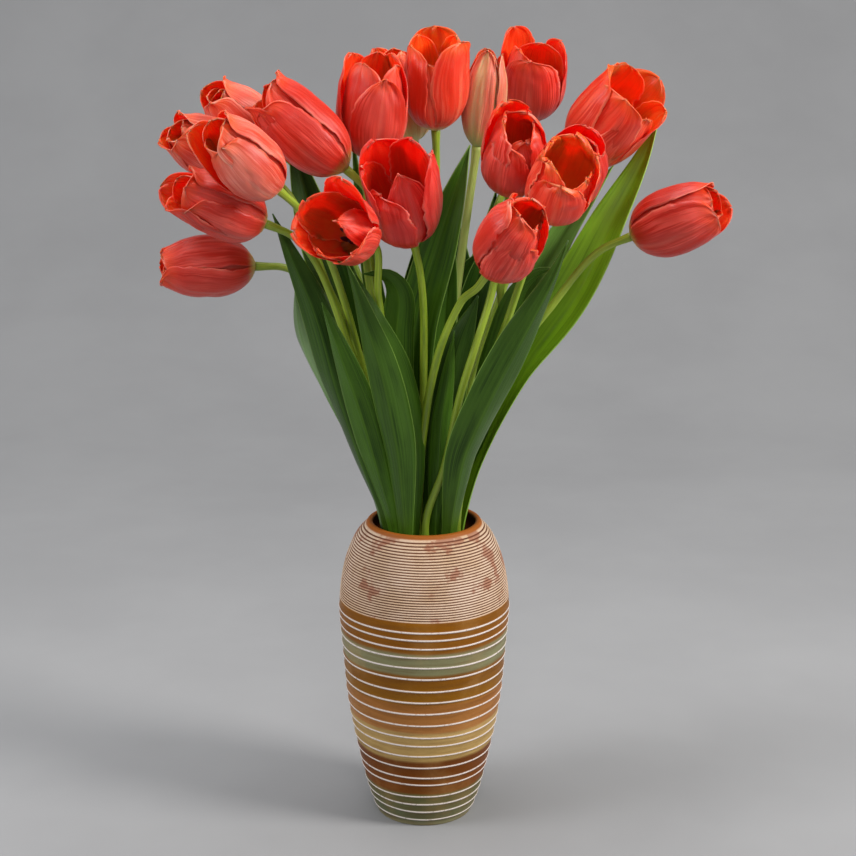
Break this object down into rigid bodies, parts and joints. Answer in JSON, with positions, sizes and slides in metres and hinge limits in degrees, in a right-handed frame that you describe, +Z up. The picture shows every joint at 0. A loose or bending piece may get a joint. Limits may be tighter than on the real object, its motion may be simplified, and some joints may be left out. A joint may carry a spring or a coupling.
{
  "type": "tulips in a vase",
  "caption": "Cut tulips with coral-red blooms and long green leaves, fanned out from the narrow neck of a tall turned stoneware vase with banded glaze.",
  "frame": {"origin": "centre of the vase's foot, on the surface that the vase stands on", "axes": "+Z up along the vase's axis, -Y towards the front of the arrangement, +X to the right seen from the front"},
  "size_m": [0.4326, 0.2492, 0.6363],
  "materials": {
    "vase": "satin",
    "stem": "satin",
    "leaf": "satin",
    "petal": "satin"
  },
  "bodies": {
    "root": {"vase": "vase", "stem_01": "stem", "stem_02": "stem", "stem_03": "stem", "stem_04": "stem", "stem_05": "stem", "stem_06": "stem", "stem_07": "stem", "stem_08": "stem", "stem_09": "stem", "stem_10": "stem", "stem_11": "stem", "stem_12": "stem", "stem_13": "stem", "stem_14": "stem", "stem_15": "stem", "stem_16": "stem", "stem_17": "stem", "stem_18": "stem", "stem_19": "stem", "bloom_01": "petal", "bloom_02": "petal", "bloom_03": "petal", "bloom_04": "petal", "bloom_05": "petal", "bloom_06": "petal", "bloom_07": "petal", "bloom_08": "petal", "bloom_09": "petal", "bloom_10": "petal", "bloom_11": "petal", "bloom_12": "petal", "bloom_13": "petal", "bloom_14": "petal", "bloom_15": "petal", "bloom_16": "petal", "bloom_17": "petal", "bloom_18": "petal", "bloom_19": "petal", "leaf_01": "leaf", "leaf_02": "leaf", "leaf_03": "leaf", "leaf_04": "leaf", "leaf_05": "leaf", "leaf_06": "leaf", "leaf_07": "leaf", "leaf_08": "leaf", "leaf_09": "leaf", "leaf_10": "leaf", "leaf_11": "leaf", "leaf_12": "leaf", "leaf_13": "leaf", "leaf_14": "leaf", "leaf_15": "leaf", "leaf_16": "leaf", "leaf_17": "leaf", "leaf_18": "leaf", "leaf_19": "leaf", "leaf_20": "leaf"}
  },
  "joints": []
}
